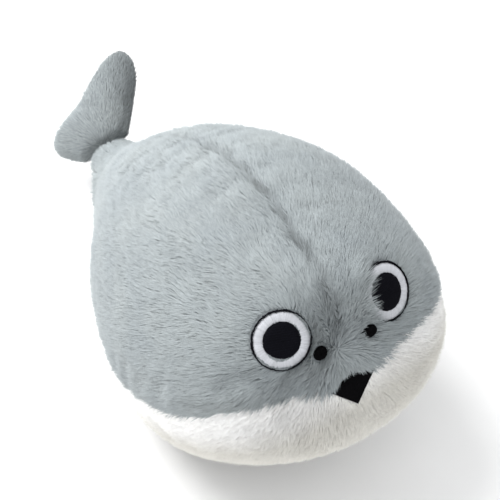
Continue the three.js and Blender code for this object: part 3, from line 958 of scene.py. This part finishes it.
# ---- Body and fin ----

def faces_by_panel(form, panels):
    """A form's quads, sorted by the CAD panel that each lies under."""
    faces = quads_of(form)
    tree, owner = surface_tree(panels)
    _, _, found = nearest(tree, points_of(form)[faces].mean(axis=1))
    owners = np.array([owner[face] for face in found])
    return {panel: faces[owners == panel] for panel in panels}


def skin_of(form):
    """A search tree over a form, and its faces' normals."""
    faces = quads_of(form)
    points = [Vector(point) for point in points_of(form)]
    normals = unit(normals_of(form)[faces].mean(axis=1))
    return BVHTree.FromPolygons(points, faces.tolist()), normals


def filled_with(name, form, node, blend_ends):
    filling = filling_piece(name, form, SKIN_THICKNESS + FILLING_GAP)
    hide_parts(node)
    carry(filling, blend_ends)
    return filling


def sewn_skin(panel, form, faces, kind, blend_ends):
    """The knitted skin of one panel, in place of its CAD node."""
    skin = skin_piece(f"{panel}_skin", form, faces, MATERIALS[f"{kind}_knit"])
    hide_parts(panel)
    carry(skin, blend_ends)


def make_body(rng):
    end, axis = joint_place("tail_twist")
    blend_ends = ("body", "tail_root", end - axis * TWIST_LENGTH, end)
    cap = closing_cap(BODY_PANELS, end, axis)
    form = form_under("body", "body_stuffing", BODY_PANELS, BODY_SEAMS, cap, in_pockets, thin_end)
    fuller_waist(form)
    raised_brow(form)
    for panel, faces in faces_by_panel(form, BODY_PANELS).items():
        kind = "white" if panel == "belly_panel" else "grey"
        sewn_skin(panel, form, faces, kind, blend_ends)
        body_pile(f"{panel}_pile", form, faces, kind, blend_ends, rng)
    filled_with("body_filling", form, "body_stuffing", blend_ends)
    mouth = seat_of("mouth_patch")["origin"]
    skin = skin_of(form)
    for seam in BODY_SEAMS:
        sew(seam, lambda points: np.linalg.norm(points - mouth, axis=1), blend_ends, skin)
    return skin[0]


def make_fin(rng):
    hinge, swing_axis = joint_place("tail_swing")
    end, tail_axis = joint_place("tail_twist")
    blend_ends = ("tail_root", "tail_fin", hinge, hinge + tail_axis * SWING_LENGTH)
    band = edge_band(FIN_PANELS, hinge, tail_axis, swing_axis)
    form = form_under("fin", "fin_stuffing", FIN_PANELS, ("fin_edge_seam",), band, nowhere, full_pile)
    for panel, faces in faces_by_panel(form, FIN_PANELS).items():
        sewn_skin(panel, form, faces, "grey", blend_ends)
        fin_pile(f"{panel}_pile", form, faces, blend_ends, rng)
    filled_with("fin_filling", form, "fin_stuffing", blend_ends)
    middle = node_points("fin_edge_seam").mean(axis=0)
    sew("fin_edge_seam", round_about(middle, tail_axis, swing_axis), blend_ends, skin_of(form))
    across = np.cross(tail_axis, swing_axis)
    sew("tail_root_seam", round_about(end, across, swing_axis), blend_ends)


# ---- Embroidery, felt and seams ----

def band_faces(low, high, around):
    """Triangles between two rings of points that start at those numbers."""
    here = np.arange(around)
    ahead = (here + 1) % around
    lower = np.stack([low + here, low + ahead, high + ahead], axis=1)
    upper = np.stack([low + here, high + ahead, high + here], axis=1)
    return np.concatenate([lower, upper])


def fan_faces(pole, ring, around):
    """Triangles from a single point to a ring of points."""
    here = np.arange(around)
    return np.stack([np.full(around, pole), ring + here, ring + (here + 1) % around], axis=1)


def domed(x, y):
    """The height of the rounded face that an eye is sewn on."""
    return -(x ** 2 + y ** 2) / (2 * FACE_RADIUS)


def skin_under(tree, seat):
    """A function for the skin's height over a seat's plane."""
    def height(x, y):
        starts = from_seat(seat, np.stack([x.ravel(), y.ravel(), np.full(x.size, REACH)], axis=1))
        falls = [tree.ray_cast(Vector(start), Vector(-seat["out"]))[3] for start in starts]
        return REACH - np.array(falls).reshape(x.shape)
    return height


def sewn_ring(name, seat, inner, outer, profile, base, stitches, colour, rng, per_stitch=4, rows=8):
    """Satin stitches laid across a ring, each a little ridge of its own length and tone."""
    around = stitches * per_stitch
    turn = np.arange(around) / around * 2 * math.pi
    ridge = np.abs(np.cos(np.arange(around) / per_stitch * math.pi))
    ends = np.repeat(rng.normal(size=(2, stitches)), per_stitch, axis=1) * RAGGED
    share = np.linspace(0, 1, rows + 1)[:, None]
    reach = inner + ends[0] + share * (outer + ends[1] - inner - ends[0])
    height = profile * (1 - np.abs(2 * share - 1) ** RING["power"] * RING["edge"]) + RIDGE * ridge
    reach = np.concatenate([reach, reach[[-1, 0]]])
    height = np.concatenate([height, np.zeros((2, around))])
    x, y = reach * np.cos(turn), reach * np.sin(turn)
    rings = np.stack([x, y, base + height + domed(x, y)], axis=2)
    faces = [band_faces(k * around, (k + 1) % len(rings) * around, around) for k in range(len(rings))]
    mesh = mesh_from(name, from_seat(seat, rings.reshape(-1, 3)), np.concatenate(faces))
    tones = np.repeat(rng.normal(1, RING["tone"], stitches), per_stitch)
    # painted shade: each stitch darker in the valley beside it
    tones = tones * (RING["valley"] + RING["ridge"] * ridge)
    paint(mesh, np.tile(tones, len(rings))[:, None] * colour)
    return mesh


def sewn_disc(name, seat, half_width, half_height, height, base, colour, rng,
              ground=domed, around=240, rows=44):
    """A filled embroidered disc: rows of stitches side by side, a little crowned, on a curved ground."""
    turn = np.arange(around) / around * 2 * math.pi
    ragged = 1 + RAGGED / half_width * rng.normal(size=around) * DISC["ragged"]
    share = np.append(np.linspace(1 / rows, 1, rows), 1)[:, None]
    x = half_width * share * np.cos(turn) * ragged
    y = half_height * share * np.sin(turn) * ragged
    row = np.floor(y / STITCH_PITCH)
    ridges = np.abs(np.cos(y / STITCH_PITCH * math.pi)) * RIDGE
    along = (x / STITCH_LENGTH + row * DISC["shift"]) % 1
    dips = np.exp(-((along - 0.5) / DISC["dip"]) ** 2) * RIDGE
    z = height * (1 - share ** DISC["power"] * DISC["edge"]) - ridges - dips
    z[-1] = 0
    z += base + ground(x, y)
    middle = base + ground(np.zeros(2), np.zeros(2)) + (height, 0)
    poles = [[0, 0, middle[0]], [0, 0, middle[1]]]
    points = np.concatenate([np.stack([x, y, z], axis=2).reshape(-1, 3), poles])
    last = rows * around
    faces = [band_faces(k * around, (k + 1) * around, around) for k in range(rows)]
    faces += [fan_faces(x.size, 0, around), fan_faces(x.size + 1, last, around)[:, ::-1]]
    mesh = mesh_from(name, from_seat(seat, points), np.concatenate(faces))
    tones = 1 + DISC["row_tone"] * np.sin(row * DISC["row_step"]) + DISC["tone"] * rng.normal(size=x.shape)
    paint(mesh, np.append(tones.ravel(), [1, 1])[:, None] * colour)
    return mesh


def show_on_body(mesh, material, node):
    """Shows a face piece in place of its CAD node."""
    piece = show(mesh.name, mesh, MATERIALS[material])
    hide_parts(node)
    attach(piece, "body")


def make_eye(side, rng):
    seats = {part: seat_of(f"eye_{part}_{side}") for part in ("backing", "rim", "white", "pupil")}
    for seat in seats.values():
        seat["origin"] = seat["origin"] - EYE_SINK * seat["out"]
    rim_in, rim_out = radii_of(f"eye_rim_{side}")
    white_in, white_out = radii_of(f"eye_white_{side}")
    pupil = radii_of(f"eye_pupil_{side}")[1]
    look = EYE["backing"]
    under = rim_out - look["inset"]
    backing = sewn_disc(f"eye_{side}_backing", seats["backing"], under, under, look["height"], look["base"],
                        WHITE_THREAD * look["shade"], rng)
    look = EYE["white"]
    inner, outer = white_in - look["under_pupil"], white_out + EYE_OVERLAP
    white = sewn_ring(f"eye_{side}_white", seats["white"], inner, outer, look["height"], EYE_SEAT,
                      look["stitches"], WHITE_THREAD, rng)
    look = EYE["rim"]
    rim = sewn_ring(f"eye_{side}_rim", seats["rim"], rim_in - EYE_OVERLAP, rim_out, look["height"], EYE_SEAT,
                    look["stitches"], BLACK_THREAD, rng, rows=look["rows"])
    disc = sewn_disc(f"eye_{side}_pupil", seats["pupil"], pupil, pupil, EYE["pupil"]["height"], EYE_SEAT,
                     BLACK_THREAD, rng)
    show_on_body(backing, "white_thread", f"eye_backing_{side}")
    show_on_body(white, "white_thread", f"eye_white_{side}")
    show_on_body(rim, "black_thread", f"eye_rim_{side}")
    show_on_body(disc, "black_thread", f"eye_pupil_{side}")


def make_nostril(side, skin_tree, rng):
    node = f"nostril_{side}"
    seat = seat_of(node)
    size = np.abs(in_seat(seat, node_points(node))).max(axis=0)
    ground = skin_under(skin_tree, seat)
    mesh = sewn_disc(f"{node}_felt", seat, size[0], size[1], NOSTRIL["rise"], NOSTRIL["base"],
                     BLACK_THREAD, rng, ground, NOSTRIL["around"], NOSTRIL["rows"])
    show_on_body(mesh, "felt", node)


def make_mouth(skin_tree, rng, steps=28):
    """A felt kite on the skin, as a grid between its four corners with its edges rolled down."""
    node = "mouth_patch"
    seat = seat_of(node)
    local = in_seat(seat, node_points(node))
    right, left = local[local[:, 0].argmax()], local[local[:, 0].argmin()]
    top, tip = local[local[:, 1].argmax()], local[local[:, 1].argmin()]
    top = top * (1, MOUTH["top"], 1)
    u, v = np.meshgrid(np.linspace(0, 1, steps), np.linspace(0, 1, steps), indexing="ij")
    corners = [(top, (1 - u) * (1 - v)), (right, u * (1 - v)), (tip, u * v), (left, (1 - u) * v)]
    flat = sum(corner[:2] * weight[..., None] for corner, weight in corners)
    edge = np.minimum.reduce([u, 1 - u, v, 1 - v]) * 2
    ground = skin_under(skin_tree, seat)(flat[..., 0], flat[..., 1])
    rolled = MOUTH["rolled"] * np.exp(-edge / MOUTH["edge"])
    rise = MOUTH["rise"] - rolled + MOUTH["rough"] * rng.normal(size=u.shape)
    upper = np.dstack([flat, ground + rise])
    lower = np.dstack([flat, ground - MOUTH["depth"]])
    points = np.concatenate([upper.reshape(-1, 3), lower.reshape(-1, 3)])
    index = np.arange(steps * steps).reshape(steps, steps)
    cells = np.stack([index[:-1, :-1], index[1:, :-1], index[1:, 1:], index[:-1, 1:]], axis=2).reshape(-1, 4)
    border = np.concatenate([index[0], index[1:, -1], index[-1, -2::-1], index[-2:0:-1, 0]])
    ahead = np.roll(border, -1)
    walls = np.stack([border, ahead, ahead + steps ** 2, border + steps ** 2], axis=1)
    faces = np.concatenate([cells[:, ::-1], cells + steps ** 2, walls])
    show_on_body(mesh_from("mouth_felt", from_seat(seat, points), faces), "felt", node)


def centre_line(node, order):
    """The middle of a CAD thread, section by section, where order is a function that grows along it."""
    points = node_points(node)
    place = order(points)
    points, place = points[np.argsort(place)], np.sort(place)
    sections = np.split(points, np.flatnonzero(np.diff(place) > SECTION_GAP) + 1)
    return np.array([section.mean(axis=0) for section in sections])


def round_about(centre, along, up):
    """A function for how far round a loop of that radius each point is, in metres."""
    def order(points):
        arms = points - centre
        return np.arctan2(arms @ up, arms @ along) * LOOP_RADIUS
    return order


def even_steps(line, pitch):
    """Points along a line, that far apart."""
    lengths = np.concatenate([[0], np.cumsum(np.linalg.norm(np.diff(line, axis=0), axis=1))])
    places = np.linspace(0, lengths[-1], max(int(lengths[-1] / pitch), 2))
    return np.stack([np.interp(places, lengths, line[:, k]) for k in range(3)], axis=1)


def stitches_along(name, holes, normals):
    """A row of stitches, each a closed little loaf from one needle hole to the next."""
    start, step = holes[:-1], np.diff(holes, axis=0)
    up = unit(tangent(normals[:-1], unit(step)))
    across = np.cross(unit(step), up)
    turn = np.arange(STITCH["sides"]) / STITCH["sides"] * 2 * math.pi
    rings = []
    for share, swell, rise in STITCH_SHAPE:
        middle = start + step * share + up * rise * STITCH["radius"]
        spokes = across[:, None] * np.cos(turn)[:, None] + up[:, None] * np.sin(turn)[:, None]
        rings.append(middle[:, None] + spokes * swell * STITCH["radius"])
    points = np.stack(rings, axis=1)
    sides, count = STITCH["sides"], len(STITCH_SHAPE)
    faces = [band_faces(k * sides, (k + 1) * sides, sides) for k in range(count - 1)]
    ends = np.array([[0, k, k + 1] for k in range(1, sides - 1)])
    faces += [ends[:, ::-1], ends + (count - 1) * sides]
    pattern = np.concatenate(faces)
    every = (np.arange(len(start))[:, None, None] * sides * count + pattern).reshape(-1, 3)
    return mesh_from(name, points.reshape(-1, 3), every)


def sew(node, order, blend_ends, skin=None):
    """Replaces a CAD thread with a row of real stitches, pulled down onto the skin if there is one."""
    holes = even_steps(centre_line(node, order), STITCH["pitch"])
    normals = unit(holes - holes.mean(axis=0))
    if skin:
        tree, form_normals = skin
        holes, _, faces = nearest(tree, holes)
        normals = form_normals[faces]
    name = f"{node}_stitches"
    piece = show(name, stitches_along(name, holes, normals), MATERIALS["grey_thread"])
    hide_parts(node)
    carry(piece, blend_ends)


# ---- Stage, light and camera ----

def direction(azimuth, elevation):
    """From the object towards a camera or lamp. Azimuth 0 is at -Y, before the fish, and grows towards +X."""
    a, e = math.radians(azimuth), math.radians(elevation)
    return Vector((math.sin(a) * math.cos(e), -math.cos(a) * math.cos(e), math.sin(e)))


def make_camera():
    data = bpy.data.cameras.new("camera")
    data.lens = CAMERA["lens"]
    data.sensor_width = CAMERA["sensor"]
    data.clip_start, data.clip_end = CAMERA["clip"]
    camera = in_scene("camera", data)
    back = direction(CAMERA["azimuth"], CAMERA["elevation"])
    camera.location = Vector(CAMERA["target"]) + back * CAMERA["distance"]
    camera.rotation_mode = "QUATERNION"
    turn = (-back).to_track_quat("-Z", "Y").to_matrix()
    roll = Matrix.Rotation(math.radians(CAMERA["roll"]), 3, "Z")
    camera.rotation_quaternion = (turn @ roll).to_quaternion()
    bpy.context.scene.camera = camera


def lamp(name, azimuth, elevation, distance, size, power):
    data = bpy.data.lights.new(name, "AREA")
    data.shape = "DISK"
    data.size = size
    data.energy = power
    light = in_scene(name, data)
    back = direction(azimuth, elevation)
    light.location = Vector(LAMP_TARGET) + back * distance
    light.rotation_mode = "QUATERNION"
    light.rotation_quaternion = (-back).to_track_quat("-Z", "Y")


def make_studio():
    world = bpy.data.worlds.new("studio")
    world.use_nodes = True
    background = world.node_tree.nodes["Background"]
    background.inputs["Color"].default_value = SKY
    background.inputs["Strength"].default_value = 1.0
    bpy.context.scene.world = world
    bpy.context.scene.view_settings.view_transform = "Standard"
    corners = np.array([[-1, -1, 0], [1, -1, 0], [1, 1, 0], [-1, 1, 0]]) * FLOOR_HALF
    floor = show("floor", mesh_from("floor", corners, np.array([[0, 1, 2, 3]])), floor_material())
    for name, place in LAMPS.items():
        lamp(name, **place)


# ---- Assembly ----

rng = np.random.default_rng(7)
make_camera()
make_studio()
skin_tree = make_body(rng)
make_fin(rng)
for side in SIDES:
    make_eye(side, rng)
    make_nostril(side, skin_tree, rng)
make_mouth(skin_tree, rng)
